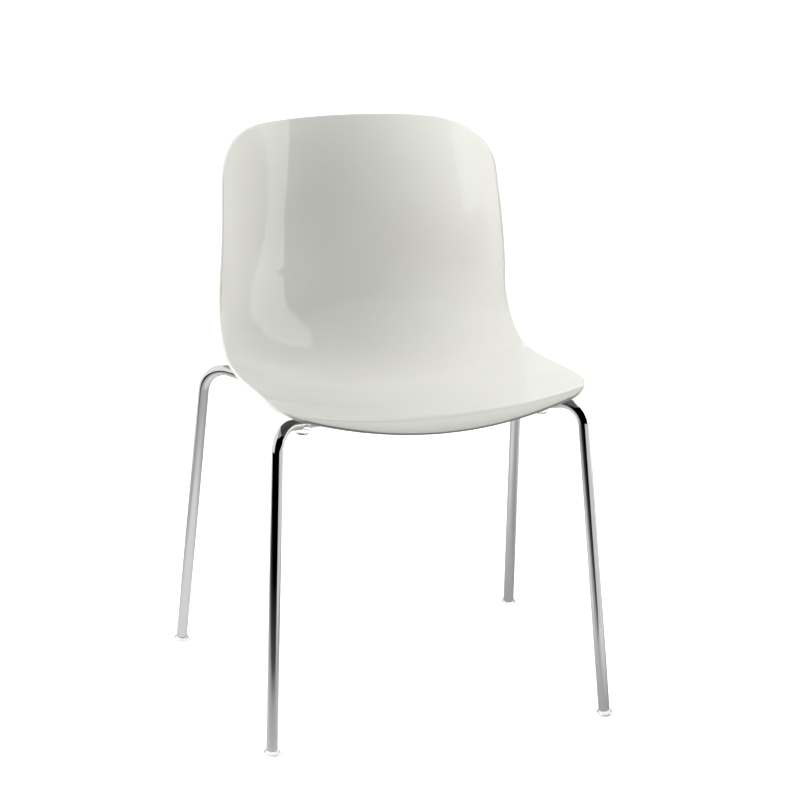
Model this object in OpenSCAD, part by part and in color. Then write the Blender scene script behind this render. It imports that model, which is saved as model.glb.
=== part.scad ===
// Stacking chair: a one-piece moulded seat and back on a four-leg frame of bent steel tube.
// Millimetres. +Z is up, -Y is the sitter's front, and the chair is mirrored about X = 0.
// The origin is on the floor, under the middle of the chair's width and depth.

/* [Shell: side profile] */
// Height of the top edge of the back above the floor
back_top_z = 793.5; // [740:0.5:860]
// How far behind the origin the top edge of the back lies
back_top_y = 264.3; // [240:0.1:300]
// Lean of the back from vertical, in degrees
back_lean = 12; // [8:0.5:18]
// Radius of the bend from seat to back, on the centre line
seat_bend_r = 172; // [130:1:190]
// Height of the seat surface at its centre, over the origin
seat_z = 445.2; // [400:0.2:500]
// Fall of the seat towards the back, in degrees
seat_slope = 3.8; // [0:0.2:8]
// Where the seat starts to roll down at the front
roll_start_y = -226; // [-250:1:-190]
// Radius of the rolled front edge
roll_r = 49; // [30:1:70]
// Turn of the rolled front edge, in degrees
roll_turn = 50; // [30:1:65]
// Thickness of the moulded wall
shell_wall = 5; // [3:0.1:8]

/* [Shell: plan and section] */
// Width across the front of the seat
front_w = 456; // [400:1:520]
// Width across the rear of the seat
seat_w = 446; // [400:1:520]
// Width across the back where the bend ends
back_w = 433; // [380:1:500]
// Width that the back tapers to at its top edge
top_w = 403; // [340:1:480]
// Height of the seat's sides above its centre line at the lip
front_dish = 25.5; // [10:0.5:45]
// Height of the seat's sides above its centre line
seat_dish = 31.4; // [15:0.2:50]
// Depth that the back wraps forward at its sides
back_wrap = 124.5; // [60:0.5:140]
// How far ahead of the bend the sides start to rise
wrap_lead = 70; // [20:1:110]
// How far past the bend's start the wrap is complete
wrap_end = 355; // [250:1:440]
// Roundness of the seat's cross section, from 0.1 for a parabola to nearly 1 for a half circle
seat_round = 0.6; // [0.1:0.05:0.9]
// Roundness of the back's cross section, on the same scale
back_round = 0.85; // [0.1:0.005:0.95]
// Distance back from the lip over which the sides fall to their height at the lip
lip_fade = 100; // [60:1:140]
// Bow of the front edge in plan
front_bow = 19; // [5:1:40]
// Distance back from the lip's corners over which the bow of the mesh's rows dies out
bow_fade = 260; // [200:1:320]
// Size of the front corners across the seat
front_corner_x = 40; // [15:1:80]
// Size of the front corners along the seat
front_corner_y = 64; // [20:1:100]
// Size of the top corners across the back
top_corner_x = 88; // [30:1:120]
// Size of the top corners down the back
top_corner_z = 73; // [30:1:120]
// Power of the top corners' outline, where 2 is an ellipse
top_corner_power = 2.6; // [2:0.05:4]

/* [Frame tubes] */
// Outside diameter of the leg tube
tube_d = 16; // [12:0.5:22]
// Wall of the leg tube
tube_wall = 1.6; // [1:0.1:2.5]
// Half the spread of the front feet
front_foot_x = 245.7; // [220:0.1:280]
// Distance of the front feet ahead of the origin
front_foot_y = 258; // [220:1:290]
// Half the spread of the rear feet
rear_foot_x = 266.2; // [230:0.1:300]
// Distance of the rear feet behind the origin
rear_foot_y = 217; // [190:1:260]
// How far the front legs' top bends lie inside the seat's edge
front_knee_in = 8.3; // [0:0.1:30]
// Distance of the front legs' top bends ahead of the origin
front_knee_y = 216; // [190:0.5:240]
// Height of the front legs' top bends above the seat's centre
front_knee_up = 12.3; // [-5:0.1:20]
// How far the rear legs' top bends lie outside the seat's edge
rear_knee_out = 18.5; // [14:0.5:30]
// Distance of the rear legs' top bends behind the origin
rear_knee_y = 113; // [100:0.5:140]
// Height of the rear legs' top bends above the seat's centre
rear_knee_up = 20.3; // [10:0.1:26]
// Half the distance between the middle bends of the two side tubes
mid_bend_x = 62; // [50:1:90]
// Distance of the middle bends ahead of the origin
mid_bend_y = 72; // [50:1:90]
// Depth of the middle bends below the seat's centre
mid_bend_down = 22.2; // [18:0.1:40]
// Centre-line radius of the bends at the top of the front legs
front_knee_r = 33; // [28:1:50]
// Centre-line radius of the bends at the top of the rear legs
rear_knee_r = 45; // [35:1:60]
// Centre-line radius of the middle bends
mid_bend_r = 45; // [30:1:60]

/* [Crossbars] */
// Width of each flat crossbar
bar_w = 26; // [22:1:40]
// Thickness of each flat crossbar
bar_t = 5; // [4:0.5:6]
// Distance of the front crossbar ahead of the origin
front_bar_y = 130; // [115:1:160]
// Distance of the rear crossbar behind the origin
rear_bar_y = -1; // [-10:1:10]
// Depth of the crossbars' top faces below the seat's centre
bar_down = 10.2; // [9:0.1:14]
// Gap between a bar's coped end and its tube, filled by the weld
weld_gap = 0.1; // [0.05:0.05:0.3]
// How far the bars' ends stop short of the tubes' centre lines
bar_end_in = 4; // [2:0.5:6]

/* [Seat fixings] */
// Half the distance between the screws of one crossbar
screw_x = 90; // [60:1:110]
// Thread diameter of the seat screws
screw_d = 6; // [5:0.5:8]
// Length of the seat screws under the head
screw_l = 14; // [12:1:15]
// Head diameter of the seat screws
screw_head_d = 10.5; // [9:0.5:13]
// Head height of the seat screws
screw_head_h = 3.3; // [2.5:0.1:5]
// Height of the bevel round the screw head
head_bevel = 1.3; // [0.5:0.1:2]
// Size of the hexagon socket across its flats
socket_af = 4; // [3:0.5:5]
// Depth of the hexagon socket
socket_l = 2; // [1.5:0.1:2.4]
// Outside diameter of the washers
washer_d = 14; // [12:0.5:18]
// Thickness of the washers
washer_t = 1.2; // [0.8:0.1:2]
// Clearance on the diameter of the holes that the screws pass through
hole_clear = 0.6; // [0.3:0.1:1]
// Outside diameter of the threaded inserts
insert_d = 8.5; // [7.5:0.1:10]
// Length of the threaded inserts
insert_l = 8; // [6:0.5:8]
// Room above the insert in the boss's hole
insert_room = 1; // [0.5:0.1:1]
// Diameter of the bosses under the seat
boss_d = 18; // [14:0.5:22]
// Running clearance between parts that slip together, on the radius
slip = 0.05; // [0.02:0.01:0.1]

/* [Feet and buffers] */
// Diameter of the foot's flange
foot_d = 22; // [20:0.5:28]
// Diameter of the foot's base
foot_base_d = 18.5; // [16:0.5:24]
// Length of tube centre line from the floor to the tube's end
foot_h = 8; // [7:0.5:14]
// Thickness of the foot's flange
foot_flange_t = 3.6; // [2:0.1:5]
// Size of the bevels on the foot's flange and on the tip of its plug
foot_edge = 1; // [0.2:0.1:1]
// Length of the plug inside the tube
foot_plug_l = 22; // [12:1:40]
// Diameter of the stacking buffers
buffer_d = 19; // [18.5:0.5:24]
// Thickness of the buffer under the tube
buffer_pad = 5.8; // [2:0.1:10]
// How far the buffer's jaws reach above the tube's centre line
buffer_grip = 3.5; // [1:0.5:5]
// Distance of the buffers along the tube from the top of the front leg
buffer_along = 64; // [50:1:80]

/* [Hidden] */

left = -1;
right = 1;
// Steps of the shell's mesh across its width and along its profile
shell_columns = 36;
corner_rows = 8;
length_rows = 42;
// Overcut of a tool that removes material
past = 1;
// How far a straight run of tube reaches into a bend, and how much thicker the bend is
lap = 1;
swell = 0.04;
// Half the distance between the points that a surface normal is taken from
probe = 0.5;
round_fn = 64;

tube_r = tube_d / 2;
bore_r = tube_r - tube_wall;

// Vector helpers
function unit(v) = v / norm(v);
function smooth(t) = let(c = min(1, max(0, t))) c * c * (3 - 2 * c);
function mix(a, b, t) = a + (b - a) * t;

// ---- Shell: centre line in the YZ plane ----
// It runs from the lip, over the rolled front edge, along the seat, round the bend and up the back.
// Its parameter t is the arc length from the start of the bend, so the seat has t < 0.
seat_dir = [cos(seat_slope), -sin(seat_slope)];
back_dir = [sin(back_lean), cos(back_lean)];
seat_up = [sin(seat_slope), cos(seat_slope)];
bend_turn = 90 - back_lean + seat_slope;
back_foot_y = back_top_y - back_top_z * tan(back_lean);
// Point where the straight seat line and the straight back line would meet
heel_z = (seat_z - back_foot_y * tan(seat_slope)) / (1 + tan(seat_slope) * tan(back_lean));
heel = [back_foot_y + heel_z * tan(back_lean), heel_z];
bend_tangent = seat_bend_r * tan(bend_turn / 2);
bend_start = heel - bend_tangent * seat_dir;
bend_end = heel + bend_tangent * back_dir;
bend_centre = bend_start + seat_bend_r * seat_up;
bend_l = seat_bend_r * bend_turn * PI / 180;
roll_start = [roll_start_y, seat_z - roll_start_y * tan(seat_slope)];
roll_centre = roll_start - roll_r * seat_up;
seat_l = norm(bend_start - roll_start);
roll_l = roll_r * roll_turn * PI / 180;
back_l = norm([back_top_y, back_top_z] - bend_end);
t_lip = -seat_l - roll_l;
t_top = bend_l + back_l;

function in_bend(t) = seat_slope - t / seat_bend_r * 180 / PI;
function in_roll(t) = seat_slope + (t + seat_l) / roll_r * 180 / PI;
function centre_line(t) =
  t >= bend_l ? bend_end + (t - bend_l) * back_dir :
  t >= 0 ? bend_centre - seat_bend_r * [sin(in_bend(t)), cos(in_bend(t))] :
  t >= -seat_l ? bend_start + t * seat_dir :
  roll_centre + roll_r * [sin(in_roll(t)), cos(in_roll(t))];

// Direction in which the sides leave the centre line: up at the seat, forward at the back
function side_angle(t) = 90 * min(1, max(0, t / bend_l));

// ---- Shell: half width, depth of the dish and cross section ----
function half_width(t) =
  t < 0 ? mix(seat_w, front_w, -t / seat_l) / 2 :
  t < bend_l ? mix(seat_w, back_w, smooth(t / bend_l)) / 2 :
  mix(back_w, top_w, (t - bend_l) / back_l) / 2;
function dish(t) =
  mix(seat_dish, back_wrap, smooth((t + wrap_lead) / (wrap_end + wrap_lead)))
  + (front_dish - seat_dish) * min(1, max(0, (t_lip + lip_fade - t) / lip_fade));
function section(u, t) =
  let(k = mix(seat_round, back_round, smooth(t / bend_l)))
  (1 - sqrt(1 - pow(k * u, 2))) / (1 - sqrt(1 - k * k));

// Point of the upper surface at distance x from the middle and parameter t
function upper_point(x, t) =
  let(c = centre_line(t), a = side_angle(t), h = dish(t) * section(abs(x) / half_width(t), t))
  [x, c[0] - h * sin(a), c[1] + h * cos(a)];

// Unit normal of the upper surface, towards the sitter
function normal(x, t) =
  let(across = upper_point(x + probe, t) - upper_point(x - probe, t))
  let(onward = upper_point(x, t + probe) - upper_point(x, t - probe))
  unit(cross(across, onward));

// ---- Shell: outline ----
// Each row of the mesh is [half width, t at the side edge, bow towards the lip at the middle]
t_front_side = t_lip + front_bow + front_corner_y;
t_top_side = t_top - top_corner_z;
function bow(t) = front_bow * max(0, 1 - (t - t_lip - front_bow) / bow_fade);
front_rows = [for (i = [0 : corner_rows])
  let(a = 90 * i / corner_rows, t = t_lip + front_bow + front_corner_y * (1 - cos(a)))
  [half_width(t_front_side) - front_corner_x * (1 - sin(a)), t, bow(t)]];
side_rows = [for (i = [1 : length_rows - 1])
  let(t = mix(t_front_side, t_top_side, i / length_rows))
  [half_width(t), t, bow(t)]];
top_rows = [for (i = [0 : corner_rows])
  let(a = 90 * i / corner_rows, t = t_top_side + top_corner_z * pow(sin(a), 2 / top_corner_power))
  [half_width(t) - top_corner_x * (1 - pow(cos(a), 2 / top_corner_power)), t, 0]];
shell_rows = concat(front_rows, side_rows, top_rows);

shell_places = [for (row = shell_rows, i = [0 : shell_columns])
  let(u = 2 * i / shell_columns - 1)
  [u * row[0], row[1] - row[2] * (1 - u * u)]];

// A wall between the upper points and the same points moved down their normals
module shell_wall_solid() {
  upper = [for (p = shell_places) upper_point(p[0], p[1])];
  lower = [for (p = shell_places) upper_point(p[0], p[1]) - shell_wall * normal(p[0], p[1])];
  n = shell_columns + 1;
  rows = len(shell_rows);
  under = n * rows;
  top_faces = [for (j = [0 : rows - 2], i = [0 : n - 2])
    let(a = j * n + i) each [[a, a + n, a + 1], [a + 1, a + n, a + n + 1]]];
  bottom_faces = [for (f = top_faces) [f[2] + under, f[1] + under, f[0] + under]];
  rim = concat([for (i = [0 : n - 1]) i], [for (j = [1 : rows - 1]) j * n + n - 1],
    [for (i = [n - 2 : -1 : 0]) (rows - 1) * n + i], [for (j = [rows - 2 : -1 : 1]) j * n]);
  rim_faces = [for (i = [0 : len(rim) - 1])
    let(a = rim[i], b = rim[(i + 1) % len(rim)]) each [[a, b, a + under], [b, b + under, a + under]]];
  polyhedron(points = concat(upper, lower), faces = concat(top_faces, bottom_faces, rim_faces));
}

// Height of the seat's upper surface at a place ahead of the bend
function seat_height(x, y) = upper_point(x, (y - bend_start[0]) / cos(seat_slope))[2];

// ---- Frame: corner points of the right side tube, from front foot to rear foot ----
front_foot = [front_foot_x, -front_foot_y, 0];
front_knee = [front_w / 2 - front_knee_in, -front_knee_y, seat_z + front_knee_up];
mid_bend = [mid_bend_x, -mid_bend_y, seat_z - mid_bend_down];
rear_knee = [seat_w / 2 + rear_knee_out, rear_knee_y, seat_z + rear_knee_up];
rear_foot = [rear_foot_x, rear_foot_y, 0];
front_tube_end = front_foot + foot_h * unit(front_knee - front_foot);
rear_tube_end = rear_foot + foot_h * unit(rear_knee - rear_foot);

// Places things with their z axis along d and their origin at p
module along(p, d) {
  z = unit(d);
  x = unit(cross([0, 1, 0], z));
  y = cross(z, x);
  multmatrix([for (i = [0 : 2]) [x[i], y[i], z[i], p[i]]]) children();
}

// A straight round bar from a to b
module rod(a, b, r) {
  along(a, b - a) cylinder(h = norm(b - a), r = r, $fn = round_fn);
}

function bend_angle(a, b, c) = acos(unit(b - a) * unit(c - b));
function tangent_l(a, b, c, r) = r * tan(bend_angle(a, b, c) / 2);

// The bend of radius bend_r that rounds the corner at b on the way from a to c
module elbow(a, b, c, bend_r, r) {
  into = unit(b - a);
  axis = unit(cross(into, unit(c - b)));
  side = cross(into, axis);
  start = b - tangent_l(a, b, c, bend_r) * into;
  p = start - bend_r * side;
  multmatrix([for (i = [0 : 2]) [side[i], into[i], axis[i], p[i]]])
    rotate_extrude(angle = bend_angle(a, b, c), $fn = round_fn)
      translate([bend_r, 0]) circle(r = r, $fn = round_fn);
}

// A round bar along the side tube's path, longer by extra at both ends. Its bends are a hair thicker
// than its straight runs, which end a little way inside them.
module tube_run(r, extra) {
  k1 = tangent_l(front_tube_end, front_knee, mid_bend, front_knee_r) - lap;
  k2 = tangent_l(front_knee, mid_bend, rear_knee, mid_bend_r) - lap;
  k3 = tangent_l(mid_bend, rear_knee, rear_tube_end, rear_knee_r) - lap;
  up = unit(front_knee - front_tube_end);
  inward = unit(mid_bend - front_knee);
  outward = unit(rear_knee - mid_bend);
  down = unit(rear_tube_end - rear_knee);
  rod(front_tube_end - extra * up, front_knee - k1 * up, r);
  elbow(front_tube_end, front_knee, mid_bend, front_knee_r, r + swell);
  rod(front_knee + k1 * inward, mid_bend - k2 * inward, r);
  elbow(front_knee, mid_bend, rear_knee, mid_bend_r, r + swell);
  rod(mid_bend + k2 * outward, rear_knee - k3 * outward, r);
  elbow(mid_bend, rear_knee, rear_tube_end, rear_knee_r, r + swell);
  rod(rear_knee + k3 * down, rear_tube_end + extra * down, r);
}

// The model is drawn for the right side; side is 1 there and -1 on the left
module on_side(side) {
  if (side == right) children();
  else mirror([1, 0, 0]) children();
}

// ---- Fixings: screw places ----
bar_top_z = seat_z - bar_down;
bar_bottom_z = bar_top_z - bar_t;
front_screw = [screw_x, -front_bar_y];
rear_screw = [screw_x, rear_bar_y];
insert_hole_l = insert_l + insert_room;

// ---- Parts ----
module shell_boss(place) {
  // The boss's root ends inside the moulded wall, below the sitting surface
  root_z = seat_height(place[0], place[1]) - shell_wall / 2;
  translate([place[0], place[1], bar_top_z])
    cylinder(h = root_z - bar_top_z, d = boss_d, $fn = round_fn);
}

module insert_hole(place) {
  translate([place[0], place[1], bar_top_z - past])
    cylinder(h = insert_hole_l + past, d = insert_d + 2 * slip, $fn = round_fn);
}

module seat_shell() {
  color([0.82, 0.82, 0.80]) difference() {
    union() {
      shell_wall_solid();
      for (side = [left, right], place = [front_screw, rear_screw]) on_side(side) shell_boss(place);
    }
    for (side = [left, right], place = [front_screw, rear_screw]) on_side(side) insert_hole(place);
  }
}

module side_tube(side) {
  color([0.75, 0.76, 0.78]) on_side(side) difference() {
    tube_run(tube_r, 0);
    tube_run(bore_r, past);
  }
}

// A flat bar across both side tubes, whose centre lines run from near to far. Its ends are coped to them
module crossbar(y, near, far) {
  y_front = y - bar_w / 2;
  y_rear = y + bar_w / 2;
  x_front = mix(near[0], far[0], (y_front - near[1]) / (far[1] - near[1])) - bar_end_in;
  x_rear = mix(near[0], far[0], (y_rear - near[1]) / (far[1] - near[1])) - bar_end_in;
  color([0.75, 0.76, 0.78]) difference() {
    translate([0, 0, bar_bottom_z]) linear_extrude(bar_t)
      polygon([[-x_front, y_front], [x_front, y_front], [x_rear, y_rear], [-x_rear, y_rear]]);
    for (side = [left, right]) on_side(side) {
      rod(near, far, tube_r + weld_gap);
      translate([screw_x, y, bar_bottom_z - past])
        cylinder(h = bar_t + 2 * past, d = screw_d + hole_clear, $fn = round_fn);
    }
  }
}

// A clear plastic foot: a plug in the tube, a flange under its end and a base cut flat at the floor
module foot(side, floor_point, knee) {
  base_top = foot_h - foot_flange_t;
  plug_r = bore_r - slip;
  plug_top = foot_h + foot_plug_l;
  block = 4 * foot_d;
  color([0.9, 0.92, 0.93, 0.5]) on_side(side) intersection() {
    along(floor_point, knee - floor_point) rotate_extrude($fn = round_fn) polygon([
      [0, -foot_h], [foot_base_d / 2, -foot_h], [foot_base_d / 2, base_top],
      [foot_d / 2 - foot_edge, base_top], [foot_d / 2, base_top + foot_edge],
      [foot_d / 2, foot_h - foot_edge], [foot_d / 2 - foot_edge, foot_h],
      [plug_r, foot_h], [plug_r, plug_top - foot_edge], [plug_r - foot_edge, plug_top], [0, plug_top]]);
    translate(floor_point - [block / 2, block / 2, 0]) cube(block);
  }
}

// A clear plastic button that snaps over the tube from below
module stacking_buffer(side) {
  run = mid_bend - front_knee;
  p = front_knee + buffer_along * unit(run);
  low = p[2] - tube_r - buffer_pad;
  color([0.9, 0.92, 0.93, 0.5]) on_side(side) difference() {
    translate([p[0], p[1], low]) cylinder(h = p[2] + buffer_grip - low, d = buffer_d, $fn = round_fn);
    rod(p - buffer_d * unit(run), p + buffer_d * unit(run), tube_r + slip);
  }
}

module threaded_insert(side, place) {
  color([0.75, 0.6, 0.3]) on_side(side) translate([place[0], place[1], bar_top_z + slip]) difference() {
    cylinder(h = insert_l, d = insert_d, $fn = round_fn);
    translate([0, 0, -past]) cylinder(h = insert_l + 2 * past, d = screw_d + 2 * slip, $fn = round_fn);
  }
}

module washer(side, place) {
  color([0.7, 0.7, 0.72]) on_side(side) translate([place[0], place[1], bar_bottom_z - washer_t])
    difference() {
      cylinder(h = washer_t, d = washer_d, $fn = round_fn);
      translate([0, 0, -past]) cylinder(h = washer_t + 2 * past, d = screw_d + hole_clear, $fn = round_fn);
    }
}

// A button-head screw, driven up through the washer and the bar into the insert
module seat_screw(side, place) {
  head_top = bar_bottom_z - washer_t;
  color([0.6, 0.61, 0.63]) on_side(side) translate([place[0], place[1], head_top]) difference() {
    union() {
      cylinder(h = screw_l, d = screw_d, $fn = round_fn);
      translate([0, 0, head_bevel - screw_head_h])
        cylinder(h = screw_head_h - head_bevel, d = screw_head_d, $fn = round_fn);
      translate([0, 0, -screw_head_h])
        cylinder(h = head_bevel, d1 = screw_head_d - 2 * head_bevel, d2 = screw_head_d, $fn = round_fn);
    }
    translate([0, 0, -screw_head_h - past])
      cylinder(h = socket_l + past, d = socket_af / cos(30), $fn = 6);
  }
}

seat_shell();
side_tube(left);  // left_side_tube
side_tube(right);  // right_side_tube
crossbar(-front_bar_y, front_knee, mid_bend);  // front_crossbar
crossbar(rear_bar_y, rear_knee, mid_bend);  // rear_crossbar
foot(left, front_foot, front_knee);  // front_left_foot
foot(right, front_foot, front_knee);  // front_right_foot
foot(left, rear_foot, rear_knee);  // rear_left_foot
foot(right, rear_foot, rear_knee);  // rear_right_foot
stacking_buffer(left);  // left_stacking_buffer
stacking_buffer(right);  // right_stacking_buffer
threaded_insert(left, front_screw);  // front_left_insert
threaded_insert(right, front_screw);  // front_right_insert
threaded_insert(left, rear_screw);  // rear_left_insert
threaded_insert(right, rear_screw);  // rear_right_insert
washer(left, front_screw);  // front_left_washer
washer(right, front_screw);  // front_right_washer
washer(left, rear_screw);  // rear_left_washer
washer(right, rear_screw);  // rear_right_washer
seat_screw(left, front_screw);  // front_left_screw
seat_screw(right, front_screw);  // front_right_screw
seat_screw(left, rear_screw);  // rear_left_screw
seat_screw(right, rear_screw);  // rear_right_screw
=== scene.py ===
import math

import bmesh
import bpy
from mathutils import Matrix, Vector


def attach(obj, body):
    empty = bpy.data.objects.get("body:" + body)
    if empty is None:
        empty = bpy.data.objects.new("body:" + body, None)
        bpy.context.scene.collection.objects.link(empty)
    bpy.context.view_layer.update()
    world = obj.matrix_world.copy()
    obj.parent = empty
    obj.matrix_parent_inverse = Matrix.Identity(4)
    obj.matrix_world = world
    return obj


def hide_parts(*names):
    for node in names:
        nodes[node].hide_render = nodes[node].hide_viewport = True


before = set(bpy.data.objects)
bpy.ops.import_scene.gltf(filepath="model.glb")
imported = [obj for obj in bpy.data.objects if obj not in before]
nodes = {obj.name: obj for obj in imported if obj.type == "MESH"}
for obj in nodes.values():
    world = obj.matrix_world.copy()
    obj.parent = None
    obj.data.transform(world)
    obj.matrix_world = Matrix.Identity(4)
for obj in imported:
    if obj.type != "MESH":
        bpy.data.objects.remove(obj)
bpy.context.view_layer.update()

# ---- Seat shell ----
# Seat and back are one moulding of pale grey polypropylene, 5 mm thick, with a rolled front edge
# and a back that wraps forward at its sides. Screws through the crossbars hold it to the frame.
# Its surface follows the solid shell's profile, widths and dishes, in millimetres and radians.
MM = 0.001
# Points closer than this, in metres, are merged
MERGE = 0.00001
# Side profile: the leaning back, the bend, the sloping seat and its rolled front edge
BACK_TOP_Z = 793.5
BACK_TOP_Y = 264.3
BACK_LEAN = math.radians(12)
SEAT_BEND_R = 172.0
SEAT_Z = 445.2
SEAT_SLOPE = math.radians(3.8)
ROLL_START_Y = -226.0
ROLL_R = 49.0
ROLL_TURN = math.radians(50)
WALL = 5.0
RIM_ROUND = 1.6
# Widths across the front, the rear of the seat, the end of the bend and the top
FRONT_W = 456.0
SEAT_W = 446.0
BACK_W = 433.0
TOP_W = 403.0
# Heights of the sides above the middle, where they change, and how round the cross section is
FRONT_DISH = 25.5
SEAT_DISH = 31.4
BACK_WRAP = 124.5
WRAP_LEAD = 70.0
WRAP_END = 355.0
LIP_FADE = 100.0
SEAT_ROUND = 0.6
BACK_ROUND = 0.85
# Outline of the front edge and of the four corners
FRONT_BOW = 19.0
BOW_FADE = 260.0
FRONT_CORNER_X = 40.0
FRONT_CORNER_Y = 64.0
TOP_CORNER_X = 88.0
TOP_CORNER_Z = 73.0
TOP_CORNER_POWER = 2.6
# Steps of the mesh across the shell, along each corner, between the corners, and over the rim's edges
COLUMNS = 96
CORNER_ROWS = 24
LENGTH_ROWS = 112
RIM_STEPS = 4
# Half the distance between the points that a surface normal is taken from
PROBE = 0.5

# The centre line in the YZ plane. Its parameter t is the length along it from the start of the bend,
# so the seat has t < 0 and the lip comes first.
seat_dir = Vector((math.cos(SEAT_SLOPE), -math.sin(SEAT_SLOPE)))
seat_up = Vector((math.sin(SEAT_SLOPE), math.cos(SEAT_SLOPE)))
back_dir = Vector((math.sin(BACK_LEAN), math.cos(BACK_LEAN)))
bend_turn = math.pi / 2 - BACK_LEAN + SEAT_SLOPE
back_foot_y = BACK_TOP_Y - BACK_TOP_Z * math.tan(BACK_LEAN)
heel_z = (SEAT_Z - back_foot_y * math.tan(SEAT_SLOPE)) / (
    1 + math.tan(SEAT_SLOPE) * math.tan(BACK_LEAN)
)
heel = Vector((back_foot_y + heel_z * math.tan(BACK_LEAN), heel_z))
bend_tangent = SEAT_BEND_R * math.tan(bend_turn / 2)
bend_start = heel - bend_tangent * seat_dir
bend_end = heel + bend_tangent * back_dir
bend_centre = bend_start + SEAT_BEND_R * seat_up
bend_l = SEAT_BEND_R * bend_turn
roll_start = Vector((ROLL_START_Y, SEAT_Z - ROLL_START_Y * math.tan(SEAT_SLOPE)))
roll_centre = roll_start - ROLL_R * seat_up
seat_l = (bend_start - roll_start).length
back_l = (Vector((BACK_TOP_Y, BACK_TOP_Z)) - bend_end).length
t_lip = -seat_l - ROLL_R * ROLL_TURN
t_top = bend_l + back_l
t_front_side = t_lip + FRONT_BOW + FRONT_CORNER_Y
t_top_side = t_top - TOP_CORNER_Z


def clamp(t):
    return min(1.0, max(0.0, t))


def smooth(t):
    return clamp(t) ** 2 * (3 - 2 * clamp(t))


def mix(a, b, t):
    return a + (b - a) * t


def centre_line(t):
    if t >= bend_l:
        return bend_end + (t - bend_l) * back_dir
    if t >= 0:
        a = SEAT_SLOPE - t / SEAT_BEND_R
        return bend_centre - SEAT_BEND_R * Vector((math.sin(a), math.cos(a)))
    if t >= -seat_l:
        return bend_start + t * seat_dir
    a = SEAT_SLOPE + (t + seat_l) / ROLL_R
    return roll_centre + ROLL_R * Vector((math.sin(a), math.cos(a)))


def half_width(t):
    if t < 0:
        return mix(SEAT_W, FRONT_W, -t / seat_l) / 2
    if t < bend_l:
        return mix(SEAT_W, BACK_W, smooth(t / bend_l)) / 2
    return mix(BACK_W, TOP_W, (t - bend_l) / back_l) / 2


def dish(t):
    """How far the sides stand up from the centre line, or forward from it at the back."""
    wrap = mix(SEAT_DISH, BACK_WRAP, smooth((t + WRAP_LEAD) / (WRAP_END + WRAP_LEAD)))
    return wrap + (FRONT_DISH - SEAT_DISH) * clamp((t_lip + LIP_FADE - t) / LIP_FADE)


def section(u, t):
    """The cross section's share of the dish, from 0 in the middle to 1 at u = 1, the side."""
    k = mix(SEAT_ROUND, BACK_ROUND, smooth(t / bend_l))
    return (1 - math.sqrt(1 - (k * u) ** 2)) / (1 - math.sqrt(1 - k * k))


def upper_point(x, t):
    """The point of the upper surface, in metres, at x from the middle."""
    c = centre_line(t)
    lean = math.pi / 2 * clamp(t / bend_l)
    rise = dish(t) * section(abs(x) / half_width(t), t)
    return Vector((x, c[0] - rise * math.sin(lean), c[1] + rise * math.cos(lean))) * MM


def surface_normal(x, t):
    across = upper_point(x + PROBE, t) - upper_point(x - PROBE, t)
    onward = upper_point(x, t + PROBE) - upper_point(x, t - PROBE)
    return across.cross(onward).normalized()


def shell_place(u, i, inset, depth):
    """The point on mesh row i, from u = -1 at its left end to 1, of a sheet that lies depth below
    the upper surface and ends inset short of the shell's outline."""
    if i <= CORNER_ROWS:
        a = math.pi / 2 * i / CORNER_ROWS
        t = t_front_side - (FRONT_CORNER_Y - inset) * math.cos(a)
        w = half_width(t_front_side) - FRONT_CORNER_X + (FRONT_CORNER_X - inset) * math.sin(a)
    elif i < CORNER_ROWS + LENGTH_ROWS:
        t = mix(t_front_side, t_top_side, (i - CORNER_ROWS) / LENGTH_ROWS)
        w = half_width(t) - inset
    else:
        a = math.pi / 2 * (i - CORNER_ROWS - LENGTH_ROWS) / CORNER_ROWS
        t = t_top_side + (TOP_CORNER_Z - inset) * math.sin(a) ** (2 / TOP_CORNER_POWER)
        w = half_width(t) - TOP_CORNER_X
        w += (TOP_CORNER_X - inset) * max(0.0, math.cos(a)) ** (2 / TOP_CORNER_POWER)
    bow = FRONT_BOW * max(0.0, 1 - (t - t_lip - FRONT_BOW) / BOW_FADE)
    x, t = u * w, t - bow * (1 - u * u)
    return upper_point(x, t) - depth * MM * surface_normal(x, t)


def sealed(bm):
    """Merges a bmesh's doubles and points its faces outwards."""
    bmesh.ops.remove_doubles(bm, verts=bm.verts, dist=MERGE)
    bmesh.ops.recalc_face_normals(bm, faces=bm.faces)
    return bm


def verts_of(made):
    return [g for g in made if isinstance(g, bmesh.types.BMVert)]


def edges_of(made):
    return [g for g in made if isinstance(g, bmesh.types.BMEdge)]


def finished(name, bm, material):
    """An object at the origin made from a bmesh, smooth shaded and riding on the chair."""
    mesh = bpy.data.meshes.new(name)
    for face in bm.faces:
        face.smooth = True
    bm.to_mesh(mesh)
    bm.free()
    mesh.materials.append(material)
    piece = bpy.data.objects.new(name, mesh)
    bpy.context.scene.collection.objects.link(piece)
    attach(piece, "root")
    return piece


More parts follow.
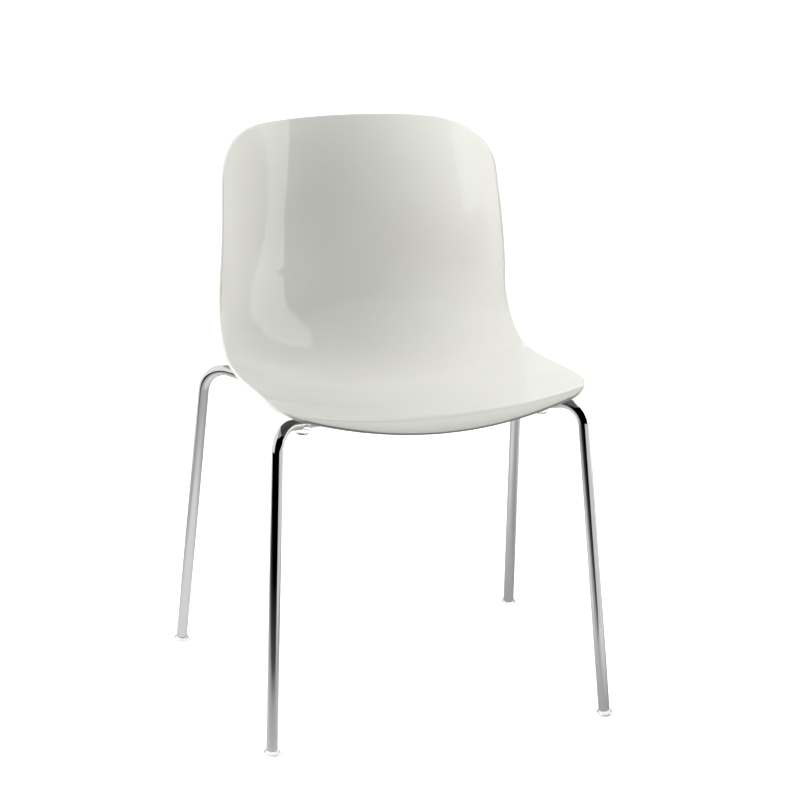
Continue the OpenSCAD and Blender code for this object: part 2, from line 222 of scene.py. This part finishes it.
class Finish:
    """A material, with short ways to add its nodes and link them."""

    # Between which values most of a noise lies
    NOISE_SPAN = (0.3, 0.7)

    def __init__(self, name):
        self.material = bpy.data.materials.new(name)
        self.material.use_nodes = True
        self.tree = self.material.node_tree
        self.shader = self.tree.nodes["Principled BSDF"]

    def fill(self, node, **values):
        """Links or sets the inputs of these names, or else the node's own settings."""
        for key, value in values.items():
            socket = key.replace("_", " ")
            if isinstance(value, bpy.types.NodeSocket):
                self.tree.links.new(value, node.inputs[socket])
            elif socket in node.inputs.keys():
                node.inputs[socket].default_value = value
            else:
                setattr(node, key, value)
        return node

    def add(self, kind, **values):
        return self.fill(self.tree.nodes.new("ShaderNode" + kind), **values)

    def set(self, **values):
        self.fill(self.shader, **values)

    def place(self, scale=(1, 1, 1)):
        """Object coordinates, stretched by scale."""
        coordinates = self.add("TexCoord")
        return self.add("Mapping", Vector=coordinates.outputs["Object"], Scale=scale).outputs[0]

    def noise(self, at, scale, detail=2.0, roughness=0.5):
        node = self.add("TexNoise", Vector=at, Scale=scale, Detail=detail, Roughness=roughness)
        return node.outputs["Fac"]

    def mapped(self, value, to, of=NOISE_SPAN):
        """The value, with its range of mapped to another."""
        (low, high), (to_low, to_high) = of, to
        node = self.add("MapRange", Value=value, From_Min=low, From_Max=high)
        return self.fill(node, To_Min=to_low, To_Max=to_high).outputs[0]

    def colours(self, value, *stops):
        ramp = self.add("ValToRGB", Fac=value)
        elements = ramp.color_ramp.elements
        for n, (position, colour) in enumerate(stops):
            element = elements[n] if n < 2 else elements.new(position)
            element.position, element.color = position, (*colour, 1)
        return ramp.outputs[0]

    def clouded(self, noise, deep, pale):
        low, high = self.NOISE_SPAN
        return self.colours(noise, (low, deep), (high, pale))

    def bump(self, height, strength, distance, over=None):
        node = self.add("Bump", Height=height, Strength=strength, Distance=distance)
        if over:
            self.tree.links.new(over, node.inputs["Normal"])
        return node.outputs[0]


# Moulded polypropylene: a soft sheen, a faint cloudiness in the colour, a slight waviness from the
# mould and a fine grain, with light scuffs where people sit. The rolled front edge carries painted
# shade.
SHELL_PALE = (0.61, 0.61, 0.575)
SHELL_DEEP = (0.59, 0.59, 0.553)
# The dark grey that the painted shade of the front edge darkens the colour towards
SHELL_PAINTED_SHADE = (0.2, 0.2, 0.18)
plastic = Finish("pale_polypropylene")
at = plastic.place()
cloud = plastic.noise(at, scale=9.0, detail=3.0)
unshaded_tone = plastic.clouded(cloud, SHELL_DEEP, SHELL_PALE)
# Painted shade: a per-point attribute darkens the rolled front edge and the rim below it
painted_shade = plastic.add("Attribute", attribute_name="painted_shade").outputs["Fac"]
grain = plastic.noise(at, scale=900.0)
wave = plastic.noise(at, scale=14.0, detail=1.0)
waviness = plastic.bump(wave, strength=0.02, distance=0.002)
scuff = plastic.noise(plastic.place((1, 5, 1)), scale=60.0, detail=4.0, roughness=0.7)
plastic.set(
    Base_Color=plastic.add("MixRGB", Fac=painted_shade, Color1=unshaded_tone, Color2=(*SHELL_PAINTED_SHADE, 1)).outputs[0],
    Roughness=plastic.mapped(scuff, to=(0.03, 0.055), of=(0.35, 0.75)),
    IOR=1.5,
    Normal=plastic.bump(grain, strength=0.008, distance=0.0002, over=waviness),
)

# Painted shade on the rolled front edge: none over the roll's first millimetres, even from there,
# more over its last rows, and darkest over the rounded upper edge of the rim, as a painted dark line.
LIP_PAINTED_SHADE = 0.24
LIP_UNSHADED = 4.0
LIP_SHADE_FADE = 2.5
EDGE_PAINTED_SHADE = 0.26
EDGE_SHADE_ROWS = 14
FIRST_SHADED_RING = 2

bm = bmesh.new()
on_row = bm.verts.layers.float_vector.new("on_row")
painted_shade_layer = bm.verts.layers.float.new("painted_shade")


def lip_painted_shade(v):
    """How much painted shade darkens a point of the upper surface or the rim."""
    past_roll_start = (upper_point(v.co.x / MM, -seat_l)[1] - v.co.y) / MM
    shade_on_roll = LIP_PAINTED_SHADE * clamp((past_roll_start - LIP_UNSHADED) / LIP_SHADE_FADE)
    return shade_on_roll + EDGE_PAINTED_SHADE * smooth(1 - v[on_row][1] / EDGE_SHADE_ROWS)


rows = 2 * CORNER_ROWS + LENGTH_ROWS
bmesh.ops.create_grid(bm, x_segments=COLUMNS, y_segments=rows, size=1)
# Each point keeps its place across its row, from -1 to 1, and the number of its row from the lip
for v in bm.verts:
    v[on_row] = (v.co.x, round((v.co.y + 1) / 2 * rows), 0)
rim = [e for e in bm.edges if e.is_boundary]
lower_sheet = bmesh.ops.duplicate(bm, geom=bm.verts[:] + bm.edges[:] + bm.faces[:])["geom"]
lower_sheet = set(verts_of(lower_sheet))
for v in bm.verts:
    below = v in lower_sheet
    v.co = shell_place(v[on_row][0], round(v[on_row][1]), RIM_ROUND, WALL if below else 0.0)
    v[painted_shade_layer] = 0.0 if below else lip_painted_shade(v)
# The rim is drawn out from the upper sheet, ring by ring, over its two rounded edges to the lower one
quarter = [math.pi / 2 * n / RIM_STEPS for n in range(RIM_STEPS + 1)]
rings = [(RIM_ROUND * (1 - math.sin(a)), RIM_ROUND * (1 - math.cos(a))) for a in quarter]
rings += [(inset, WALL - depth) for inset, depth in reversed(rings)]
for n, (inset, depth) in enumerate(rings[1:], 1):
    made = bmesh.ops.extrude_edge_only(bm, edges=rim)["geom"]
    rim = edges_of(made)
    for v in verts_of(made):
        v.co = shell_place(v[on_row][0], round(v[on_row][1]), inset, depth)
        # Painted shade: a dark line over the rim's rounded upper edge along the front
        in_shaded_rings = FIRST_SHADED_RING <= n <= RIM_STEPS
        v[painted_shade_layer] = max(lip_painted_shade(v), in_shaded_rings * clamp(1 - v[on_row][1] / CORNER_ROWS))
seat_shell = finished("moulded_shell", sealed(bm), plastic.material)
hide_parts("seat_shell")

# ---- Bosses ----
# Four round posts moulded with the shell under its seat, of the same plastic. Each has a slight
# draft, flares into the seat, and is bored from below for its brass insert.
SCREW_X = 90.0
FRONT_BAR_Y = -130.0
REAR_BAR_Y = -1.0
SCREW_PLACES = {
    "front_left": (-SCREW_X, FRONT_BAR_Y), "front_right": (SCREW_X, FRONT_BAR_Y),
    "rear_left": (-SCREW_X, REAR_BAR_Y), "rear_right": (SCREW_X, REAR_BAR_Y),
}
BAR_TOP_Z = 435.0
BOSS_D = 18.0
BOSS_EDGE = 0.5
INSERT_BORE = 8.6
INSERT_HOLE = 9.0
INSERT_MOUTH = 0.6
# How far the flare stands out from the post, and its height above the seat's underside
BOSS_FLARE = ((0.15, -3), (0.9, -1.2), (2.4, 0.2), (2.8, 2))
ROUND_STEPS = 48


def spun(points, turn=360, steps=ROUND_STEPS):
    """A bmesh of a line of points spun round the upright axis by turn degrees."""
    bm = bmesh.new()
    line = [bm.verts.new(point) for point in points]
    edges = [bm.edges.new(pair) for pair in zip(line, line[1:])]
    bmesh.ops.spin(
        bm, geom=line + edges, cent=(0, 0, 0), axis=(0, 0, 1), angle=math.radians(turn),
        steps=steps, use_merge=turn == 360,
    )
    bmesh.ops.remove_doubles(bm, verts=bm.verts, dist=MERGE)
    return bm


def turned(outline):
    """A bmesh of a turned body from the (radius, height) points of its outline."""
    return spun([Vector((r, 0, z)) * MM for r, z in outline])


def set_at(place, bm):
    """Moves a bmesh to its place and points its faces outwards."""
    bmesh.ops.transform(bm, matrix=place, verts=bm.verts)
    bmesh.ops.recalc_face_normals(bm, faces=bm.faces)
    return bm


for corner, (x, y) in SCREW_PLACES.items():
    underside = upper_point(x, (y - bend_start[0]) / math.cos(SEAT_SLOPE))[2] / MM - WALL - BAR_TOP_Z
    bore_r = INSERT_BORE / 2
    boss_r = BOSS_D / 2
    outline = [(0, INSERT_HOLE), (bore_r, INSERT_HOLE), (bore_r, INSERT_MOUTH)]
    outline += [(bore_r + INSERT_MOUTH, 0), (boss_r - BOSS_EDGE, 0), (boss_r, BOSS_EDGE)]
    outline += [(boss_r + out, underside + up) for out, up in BOSS_FLARE]
    outline += [(0, outline[-1][1])]
    boss = set_at(Matrix.Translation(Vector((x, y, BAR_TOP_Z)) * MM), turned(outline))
    finished(f"{corner}_boss", boss, plastic.material)

# ---- Side tubes ----
# Each side is one length of 16 mm steel tube, bent three times: front leg, a run under the seat that
# dips to the middle and comes back, and the rear leg. It is polished and chromium plated.
TUBE_R = 8.0
TUBE_WALL = 1.6
# Where the right tube meets the floor, and where its straight runs would meet
FRONT_FOOT = Vector((245.7, -258.0, 0))
FRONT_KNEE = Vector((219.7, -216.0, 457.5))
MID_BEND = Vector((62.0, -72.0, 423.0))
REAR_KNEE = Vector((241.5, 113.0, 465.5))
REAR_FOOT = Vector((266.2, 217.0, 0))
BEND_RADII = (33.0, 45.0, 45.0)
FOOT_H = 8.0
SIDES = {"left": -1, "right": 1}
# Edges round the tube, steps for each radian of a bend, and a short ring at both ends of each run,
# which keeps the shading of the bends off the straights
TUBE_SEGMENTS = 40
BEND_STEPS = 24
END_RING = 1.0

# Chromium plate: fine lines from polishing along the legs, and patches that are a little duller
CHROME_DEEP = (0.565, 0.57, 0.565)
CHROME_PALE = (0.60, 0.60, 0.59)
chrome = Finish("chromium_plate")
polish_lines = chrome.noise(chrome.place((1, 1, 0.06)), scale=420.0)
patches = chrome.noise(chrome.place(), scale=26.0, detail=3.0)
chrome.set(
    Base_Color=chrome.clouded(patches, CHROME_DEEP, CHROME_PALE),
    Metallic=1.0,
    Roughness=chrome.mapped(patches, to=(0.03, 0.07)),
    Normal=chrome.bump(polish_lines, strength=0.02, distance=0.0002),
)


def drawn_on(bm, ring, way, run):
    """Draws a ring of edges onward by run, with a short step at both ends of it."""
    for step in (END_RING, run - 2 * END_RING, END_RING):
        made = bmesh.ops.extrude_edge_only(bm, edges=ring)["geom"]
        verts, ring = verts_of(made), edges_of(made)
        bmesh.ops.translate(bm, verts=verts, vec=step * way * MM)
    return verts, ring


def bent_tube(corners):
    """A bmesh of a tube's skin along straight runs, with a bend of its own radius at each corner."""
    bm = bmesh.new()
    into = (corners[1] - corners[0]).normalized()
    turn = into.to_track_quat("Z", "Y").to_matrix().to_4x4()
    made = bmesh.ops.create_circle(
        bm, cap_ends=False, radius=TUBE_R * MM, segments=TUBE_SEGMENTS,
        matrix=Matrix.Translation(corners[0] * MM) @ turn,
    )
    ring = list({e for v in made["verts"] for e in v.link_edges})
    for edge in ring:
        edge.smooth = False
    start = corners[0]
    for corner, beyond, radius in zip(corners[1:], corners[2:], BEND_RADII):
        onward = (beyond - corner).normalized()
        angle = into.angle(onward)
        reach = radius * math.tan(angle / 2)
        verts, ring = drawn_on(bm, ring, into, (corner - reach * into - start).length)
        axis = into.cross(onward).normalized()
        centre = corner - reach * into + radius * axis.cross(into)
        made = bmesh.ops.spin(
            bm, geom=verts + ring, cent=centre * MM, axis=axis, angle=angle,
            steps=round(BEND_STEPS * angle), use_merge=False, use_duplicate=False,
        )["geom_last"]
        ring = edges_of(made)
        start = corner + reach * onward
        into = onward
    for edge in drawn_on(bm, ring, into, (corners[-1] - start).length)[1]:
        edge.smooth = False
    return sealed(bm)


def mirrored(point, side):
    return Vector((side * point[0], point[1], point[2]))


for name, side in SIDES.items():
    up = (FRONT_KNEE - FRONT_FOOT).normalized()
    down = (REAR_FOOT - REAR_KNEE).normalized()
    corners = [FRONT_FOOT + FOOT_H * up, FRONT_KNEE, MID_BEND, REAR_KNEE, REAR_FOOT - FOOT_H * down]
    corners = [mirrored(c, side) for c in corners]
    tube = finished(f"{name}_leg_tube", bent_tube(corners), chrome.material)
    skin = tube.modifiers.new("tube_wall", "SOLIDIFY")
    skin.thickness, skin.offset = TUBE_WALL * MM, -1
    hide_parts(f"{name}_side_tube")

# ---- Crossbars and weld beads ----
# Two flat steel bars across the frame, which carry the seat's bosses. They are coped to the side
# tubes, welded to them from below by a rippled bead at each end, and plated with the frame.
BAR_BOTTOM_Z = 430.0
BAR_W = 26.0
BAR_EDGE = 0.7
BAR_DEEP = (0.50, 0.505, 0.50)
BAR_PALE = (0.58, 0.58, 0.57)
bar_finish = Finish("plated_flat_bar")
rolled = bar_finish.noise(bar_finish.place((1, 12, 1)), scale=90.0, detail=3.0)
bar_finish.set(
    Base_Color=bar_finish.clouded(rolled, BAR_DEEP, BAR_PALE),
    Metallic=1.0,
    Roughness=bar_finish.mapped(rolled, to=(0.12, 0.26)),
    Normal=bar_finish.bump(rolled, strength=0.05, distance=0.0004),
)


def bevelled(piece, width, segments, angle=35):
    """Rounds the edges of a piece that are sharper than angle and keeps its broad faces flat."""
    bevel = piece.modifiers.new("rounded_edges", "BEVEL")
    bevel.width, bevel.segments = width * MM, segments
    bevel.limit_method, bevel.angle_limit = "ANGLE", math.radians(angle)
    bevel.harden_normals = True


def softened(node, name, material, width):
    """A copy of a solid with its sharp edges rounded, which stands for it."""
    bm = bmesh.new()
    bm.from_mesh(nodes[node].data)
    piece = finished(name, sealed(bm), material)
    bevelled(piece, width, 2)
    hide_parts(node)


# A bead runs along the lower corner of its bar's end, close under the tube
BEAD_R = 1.5
BEAD_STEPS = 22
BEAD_TIP = 0.3
BEAD_TAPER_STEPS = 2
BEAD_RIPPLE = 0.06
# How far a bead ends from the bar's sides, lies in from the tube's middle and under its lower side,
# and its least height above the bar's lower face
BEAD_SHORT = 3
BEAD_IN = 4.6
BEAD_UNDER_TUBE = 0.4
BEAD_ABOVE_FACE = 0.6


def weld_bead(start, end):
    """A bmesh of a bead between two points, with closed, tapered ends."""
    along = (end - start).to_track_quat("Z", "Y").to_matrix().to_4x4()
    bm = bmesh.new()
    made = bmesh.ops.create_circle(
        bm, cap_ends=True, radius=BEAD_TIP * BEAD_R * MM, segments=12,
        matrix=Matrix.Translation(start * MM) @ along,
    )
    ring = list({e for v in made["verts"] for e in v.link_edges})
    size = BEAD_TIP
    for n in range(1, BEAD_STEPS + 1):
        made = bmesh.ops.extrude_edge_only(bm, edges=ring)["geom"]
        ring = edges_of(made)
        bmesh.ops.translate(bm, verts=verts_of(made), vec=(end - start) * MM / BEAD_STEPS)
        from_end = min(n, BEAD_STEPS - n)
        want = min(1.0, BEAD_TIP + from_end / BEAD_TAPER_STEPS) * (1 + BEAD_RIPPLE * (-1) ** n)
        centre = Matrix.Translation(-(start + (end - start) * n / BEAD_STEPS) * MM)
        bmesh.ops.scale(bm, verts=verts_of(made), vec=(want / size,) * 3, space=centre)
        size = want
    bmesh.ops.holes_fill(bm, edges=ring, sides=0)
    bmesh.ops.recalc_face_normals(bm, faces=bm.faces)
    return bm


def bead_point(knee, y, side):
    """The bead's middle at y, under the run of tube from a knee to the middle bend."""
    run = (MID_BEND - knee) / (MID_BEND[1] - knee[1])
    middle = knee + (y - knee[1]) * run
    under_tube = middle[2] - TUBE_R - BEAD_UNDER_TUBE
    height = max(BAR_BOTTOM_Z + BEAD_ABOVE_FACE, under_tube)
    return mirrored((middle[0] - BEAD_IN, middle[1], height), side)


half_bead = BAR_W / 2 - BEAD_SHORT
for row, y, knee in (("front", FRONT_BAR_Y, FRONT_KNEE), ("rear", REAR_BAR_Y, REAR_KNEE)):
    softened(f"{row}_crossbar", f"{row}_flat_bar", bar_finish.material, BAR_EDGE)
    for name, side in SIDES.items():
        ends = [bead_point(knee, y + step, side) for step in (-half_bead, half_bead)]
        bead = finished(f"{row}_{name}_weld", weld_bead(*ends), bar_finish.material)

# ---- Feet ----
# Clear moulded plugs pushed into the tube ends: a flange under the tube and a smaller base that
# stands flat on the floor.
FLANGE_D = 22.0
FLANGE_T = 3.6
BASE_D = 18.5
PLUG_D = 12.7
PLUG_L = 22.0
FOOT_EDGE = 0.9
CLEAR_DEEP = (0.94, 0.955, 0.955)
CLEAR_PALE = (0.98, 0.985, 0.985)
clear = Finish("clear_plastic")
flow = clear.noise(clear.place(), scale=160.0, detail=3.0)
dust = clear.noise(clear.place(), scale=700.0)
clear.set(
    Base_Color=clear.clouded(flow, CLEAR_DEEP, CLEAR_PALE),
    Roughness=clear.mapped(dust, to=(0.03, 0.14), of=(0.35, 0.7)),
    IOR=1.49,
    Transmission_Weight=0.92,
    Normal=clear.bump(flow, strength=0.05, distance=0.0004),
)
for row, floor_point, knee in (("front", FRONT_FOOT, FRONT_KNEE), ("rear", REAR_FOOT, REAR_KNEE)):
    for name, side in SIDES.items():
        foot_point = mirrored(floor_point, side)
        leg = (mirrored(knee, side) - foot_point).to_track_quat("Z", "Y").to_matrix().to_4x4()
        outline = [
            (0, -FOOT_H), (BASE_D / 2, -FOOT_H), (BASE_D / 2, FOOT_H - FLANGE_T),
            (FLANGE_D / 2, FOOT_H - FLANGE_T), (FLANGE_D / 2, FOOT_H), (PLUG_D / 2, FOOT_H),
            (PLUG_D / 2, FOOT_H + PLUG_L), (0, FOOT_H + PLUG_L),
        ]
        foot = set_at(Matrix.Translation(foot_point * MM) @ leg, turned(outline))
        # The base is cut off level with the floor
        cut = bmesh.ops.bisect_plane(
            foot, geom=foot.verts[:] + foot.edges[:] + foot.faces[:],
            plane_co=(0, 0, 0), plane_no=(0, 0, 1), clear_inner=True,
        )["geom_cut"]
        bmesh.ops.holes_fill(foot, edges=edges_of(cut), sides=0)
        bmesh.ops.recalc_face_normals(foot, faces=foot.faces)
        foot = finished(f"{row}_{name}_clear_foot", foot, clear.material)
        bevelled(foot, FOOT_EDGE, 3)
        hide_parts(f"{row}_{name}_foot")

# ---- Stacking buffers ----
# Clear plastic buttons that snap over the side tubes near the front corners of the seat, so that the
# chair above rests on plastic and not on the plated tube.
BUFFER_EDGE = 0.9
for name in SIDES:
    button = f"{name}_clear_button"
    softened(f"{name}_stacking_buffer", button, clear.material, BUFFER_EDGE)

# ---- Seat fixings ----
# Brass inserts moulded into the bosses, and zinc-plated M6 button-head screws with washers that are
# driven up through the crossbars.
WASHER_T = 1.2
WASHER_EDGE = 0.2
SCREW_D = 6.0
SCREW_L = 14.0
SCREW_TIP = 0.8
SCREW_EDGE = 0.15
SCREW_EDGE_ANGLE = 50
HEAD_D = 10.5
HEAD_H = 3.3
HEAD_EDGE = 0.2
HEAD_RIM = 0.4
DOME_ANGLES = [math.radians(a) for a in range(0, 61, 12)]
SOCKET_AF = 4.0
SOCKET_L = 2.0
BRASS_DEEP = (0.62, 0.46, 0.20)
BRASS_PALE = (0.74, 0.58, 0.30)
ZINC_DEEP = (0.50, 0.51, 0.52)
ZINC_PALE = (0.62, 0.62, 0.63)
brass = Finish("turned_brass")
grooves = brass.noise(brass.place((1, 1, 30)), scale=40.0)
brass.set(
    Base_Color=brass.clouded(grooves, BRASS_DEEP, BRASS_PALE),
    Metallic=1.0,
    Roughness=brass.mapped(grooves, to=(0.2, 0.35)),
    Normal=brass.bump(grooves, strength=0.1, distance=0.0003),
)
zinc = Finish("zinc_plated_steel")
spangle = zinc.noise(zinc.place(), scale=500.0, detail=3.0)
zinc.set(
    Base_Color=zinc.clouded(spangle, ZINC_DEEP, ZINC_PALE),
    Metallic=1.0,
    Roughness=zinc.mapped(spangle, to=(0.22, 0.4)),
    Normal=zinc.bump(spangle, strength=0.08, distance=0.0002),
)


def button_screw(place):
    """A bmesh of a domed screw with a hexagon socket, its head hanging down and its tip up."""
    shank_r = SCREW_D / 2
    head_r = HEAD_D / 2
    dome_h = (HEAD_H - HEAD_RIM) / math.sin(DOME_ANGLES[-1])
    outline = [(0, SCREW_L), (shank_r - SCREW_TIP, SCREW_L), (shank_r, SCREW_L - SCREW_TIP)]
    outline += [(shank_r, 0), (head_r - HEAD_EDGE, 0), (head_r, -HEAD_EDGE)]
    outline += [(head_r * math.cos(a), -HEAD_RIM - dome_h * math.sin(a)) for a in DOME_ANGLES]
    bm = turned(outline)
    dome_end = [e for e in bm.edges if e.is_boundary]
    mouth = bmesh.ops.create_circle(
        bm, cap_ends=False, radius=SOCKET_AF / 2 / math.cos(math.pi / 6) * MM, segments=6,
        matrix=Matrix.Translation((0, 0, -HEAD_H * MM)),
    )
    mouth = list({e for v in mouth["verts"] for e in v.link_edges})
    bmesh.ops.bridge_loops(bm, edges=dome_end + mouth)
    socket = bmesh.ops.extrude_edge_only(bm, edges=mouth)["geom"]
    bmesh.ops.translate(bm, verts=verts_of(socket), vec=(0, 0, SOCKET_L * MM))
    bmesh.ops.holes_fill(bm, edges=edges_of(socket), sides=0)
    return set_at(place, bm)


def repaint(node, material):
    """Gives a solid carried over from the CAD its finish."""
    mesh = nodes[node].data
    mesh.materials.clear()
    mesh.materials.append(material)


for corner, (x, y) in SCREW_PLACES.items():
    repaint(f"{corner}_insert", brass.material)
    softened(
        f"{corner}_washer", f"{corner}_plain_washer", zinc.material, WASHER_EDGE
    )
    under_washer = Matrix.Translation(Vector((x, y, BAR_BOTTOM_Z - WASHER_T)) * MM)
    screw = finished(f"{corner}_button_screw", button_screw(under_washer), zinc.material)
    bevelled(screw, SCREW_EDGE, 2, SCREW_EDGE_ANGLE)
    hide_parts(f"{corner}_screw")

# ---- Floor ----
# A plain white studio floor, painted matt. It glows a little, which keeps it even and white, and it
# neither lights the chair from below nor keeps any light from it.
FLOOR_R = 14
FLOOR_DEEP = (0.94, 0.94, 0.94)
FLOOR_PALE = (0.95, 0.95, 0.95)
floor_paint = Finish("white_floor")
floor_cloud = floor_paint.noise(floor_paint.place(), scale=3.0)
floor_paint.set(
    Base_Color=floor_paint.clouded(floor_cloud, FLOOR_DEEP, FLOOR_PALE),
    Roughness=0.7,
    Specular_IOR_Level=0.0,
    Emission_Color=(1, 1, 1, 1),
    Emission_Strength=0.3,
)


def staged(name, bm, material):
    """An object of the studio made from a bmesh."""
    mesh = bpy.data.meshes.new(name)
    bm.to_mesh(mesh)
    bm.free()
    mesh.materials.append(material)
    thing = bpy.data.objects.new(name, mesh)
    bpy.context.scene.collection.objects.link(thing)
    return thing


bm = bmesh.new()
bmesh.ops.create_circle(bm, cap_ends=True, radius=FLOOR_R, segments=96)
floor = staged("floor", bm, floor_paint.material)
floor.visible_diffuse = floor.visible_shadow = False

# ---- Light ----
# White surroundings, which the camera and polished surfaces see but which light nothing, and broad
# soft lights round the chair, strongest from its left and right. No surface mirrors the lights.
WORLD_STRENGTH = 1.25
world = bpy.data.worlds.new("studio")
bpy.context.scene.world = world
world.use_nodes = True
world.node_tree.nodes["Background"].inputs["Color"].default_value = (1, 1, 1, 1)
world.node_tree.nodes["Background"].inputs["Strength"].default_value = WORLD_STRENGTH
world.cycles_visibility.diffuse = False


def direction(azimuth, elevation):
    """Away from the chair, in degrees: azimuth 0 is out of its front and 90 out of its right side."""
    a, e = math.radians(azimuth), math.radians(elevation)
    return Vector((math.sin(a) * math.cos(e), -math.cos(a) * math.cos(e), math.sin(e)))


# Azimuth and elevation in degrees, and strength, of each soft light
LIGHT_SPREAD = math.radians(50)
SOFT_LIGHTS = {
    "left": (-90, 20, 3.0),
    "high_left": (-90, 50, 1.9),
    "front": (0, 10, 1.4),
    "right_front": (45, 10, 0.4),
    "right": (90, 5, 3.2),
    "high_right": (90, 50, 0.7),
    "behind": (180, 25, 0.7),
}
for name, (azimuth, elevation, strength) in SOFT_LIGHTS.items():
    light = bpy.data.objects.new(name, bpy.data.lights.new(name, "SUN"))
    light.data.angle, light.data.energy = LIGHT_SPREAD, strength
    light.rotation_mode = "QUATERNION"
    light.rotation_quaternion = direction(azimuth, elevation).to_track_quat("Z", "Y")
    light.visible_glossy = False
    bpy.context.scene.collection.objects.link(light)

# ---- Room ----
# What polished surfaces mirror beside the white: black cloth in front, a pale wall behind with a
# bright strip and black cloth above it, and a dim grey ceiling over all.
ROOM_R = 5.0
# Name, first azimuth, degrees covered, low and high elevation, and glow of each part
ROOM_PARTS = (
    ("dark_front", -72, 140, 0, 54, 0.0),
    ("pale_behind", 150, 60, 4, 34, 0.95),
    ("bright_behind", 135, 60, 34, 42, 1.9),
    ("dark_behind", 135, 60, 42, 54, 0.0),
    ("dim_ceiling", 0, 360, 54, 90, 0.55),
)
# Degrees between the points up each part, and steps round it
ARC_STEP = 2
SWING_STEPS = 72


def mirrored_only(thing):
    """What only shows in polished surfaces: it neither blocks nor gives other light."""
    thing.visible_camera = thing.visible_diffuse = thing.visible_transmission = False
    thing.visible_shadow = False


for name, first, turn, low, high, glow in ROOM_PARTS:
    cloth = Finish(name)
    cloth.set(Base_Color=(0, 0, 0, 1), Roughness=1.0, Specular_IOR_Level=0.0)
    cloth.set(Emission_Color=(1, 1, 1, 1), Emission_Strength=glow)
    arc = [ROOM_R * direction(first, elevation) for elevation in range(low, high + 1, ARC_STEP)]
    part = staged(name, spun(arc, turn, SWING_STEPS), cloth.material)
    mirrored_only(part)
    part.visible_transmission = True

# ---- Veils ----
# Two partly clear black veils 2 mm over the floor, seen only in polished surfaces. They are painted
# shade on the floor as the polished parts mirror it. The front one hides more of the floor with the
# distance from the chair's left side, and the rear one most at 0.7 m.
VEIL_R = 6.0
VEIL_AT = Vector((-0.3, 0.05, 0.002))
VEIL_REACH = 2.0
# Distance in metres and how much of the floor the painted shade hides there
IN_FRONT = (
    (0.0, 0.25), (0.2, 0.28), (0.4, 0.55), (0.65, 0.62),
    (0.8, 0.76), (1.0, 0.93), (1.4, 0.97), (2.0, 1.0),
)
BEHIND = (0.0, 0.25), (0.2, 0.28), (0.45, 0.5), (0.7, 0.6), (1.0, 0.4), (1.3, 0.28)
for name, first, turn, stops in (("front_floor_shade", -115, 140, IN_FRONT), ("rear_floor_shade", 25, 220, BEHIND)):
    veil = Finish(name)
    distance = veil.add("VectorMath", operation="LENGTH", Vector=veil.place()).outputs["Value"]
    reach = veil.mapped(distance, to=(0.0, 1.0), of=(0.0, VEIL_REACH))
    # Painted shade: how much of the mirrored floor is darkened at each distance
    painted_floor_shade = veil.colours(reach, *((far / VEIL_REACH, (share,) * 3) for far, share in stops))
    veil.set(Base_Color=(0, 0, 0, 1), Roughness=1.0, Specular_IOR_Level=0.0, Alpha=painted_floor_shade)
    fan = spun([(0, 0, 0), VEIL_R * direction(first, 0)], turn, SWING_STEPS)
    cover = staged(name, fan, veil.material)
    cover.location = VEIL_AT
    mirrored_only(cover)

# ---- Lit sheets ----
# A low lit strip ahead of the chair, towards its right, and a tall softbox to its right. Both are
# seen only in polished surfaces, as bright bands.
STRIP_ENDS = ((0.21, -0.98), (1.9, -0.55))
STRIP_H = 0.42
STRIP_STRENGTH = 0.9
SOFTBOX_X = 2.2
SOFTBOX_OUTLINE = (
    (-1.33, 0), (-1.33, 0.6), (-1.07, 0.83), (-1.33, 1.12), (-1.07, 1.93),
    (-0.74, 2.7), (-0.18, 4.1), (1.5, 4.6), (1.5, 0),
)
SOFTBOX_NEAR = 2.7
SOFTBOX_FAR = 2.0
FADE_START_Y = -1.4
FADE_END_Y = -1.0


def lit_sheet(name, corners, near_strength, far_strength):
    """A flat sheet of light that fades from its near to its far strength between two values of y."""
    glow = Finish(name)
    y = glow.add("SeparateXYZ", Vector=glow.place()).outputs["Y"]
    strength = glow.mapped(y, to=(near_strength, far_strength), of=(FADE_START_Y, FADE_END_Y))
    glow.set(Base_Color=(0, 0, 0, 1), Emission_Color=(1, 1, 1, 1), Emission_Strength=strength)
    bm = bmesh.new()
    bm.faces.new([bm.verts.new(c) for c in corners])
    mirrored_only(staged(name, bm, glow.material))


strip = [(x, y, 0) for x, y in STRIP_ENDS] + [(x, y, STRIP_H) for x, y in reversed(STRIP_ENDS)]
lit_sheet("low_strip", strip, STRIP_STRENGTH, STRIP_STRENGTH)
lit_sheet("softbox", [(SOFTBOX_X, y, z) for y, z in SOFTBOX_OUTLINE], SOFTBOX_NEAR, SOFTBOX_FAR)

# ---- Camera ----
# A long lens 4 m from the chair, at a standing person's eye height and a little to the chair's left.
# Its roll is a tenth of a degree.
AZIMUTH = math.radians(-17.0864)
ELEVATION = math.radians(15.8682)
ROLL = math.radians(-0.1019)
TARGET = Vector((0.0132, -0.021, 0.4239))
DISTANCE = 3.9566
LENS = 123.22
SENSOR_W = 36
camera_data = bpy.data.cameras.new("camera")
camera_data.lens, camera_data.sensor_width = LENS, SENSOR_W
camera = bpy.data.objects.new("camera", camera_data)
bpy.context.scene.collection.objects.link(camera)
back = direction(math.degrees(AZIMUTH), math.degrees(ELEVATION))
right = Vector((math.cos(AZIMUTH), math.sin(AZIMUTH), 0))
level_up = back.cross(right)
across = math.cos(ROLL) * right + math.sin(ROLL) * level_up
upward = -math.sin(ROLL) * right + math.cos(ROLL) * level_up
camera.rotation_mode = "QUATERNION"
camera.rotation_quaternion = Matrix((across, upward, back)).transposed().to_quaternion()
camera.location = TARGET + DISTANCE * back
bpy.context.scene.camera = camera
bpy.context.scene.view_settings.view_transform = "Standard"
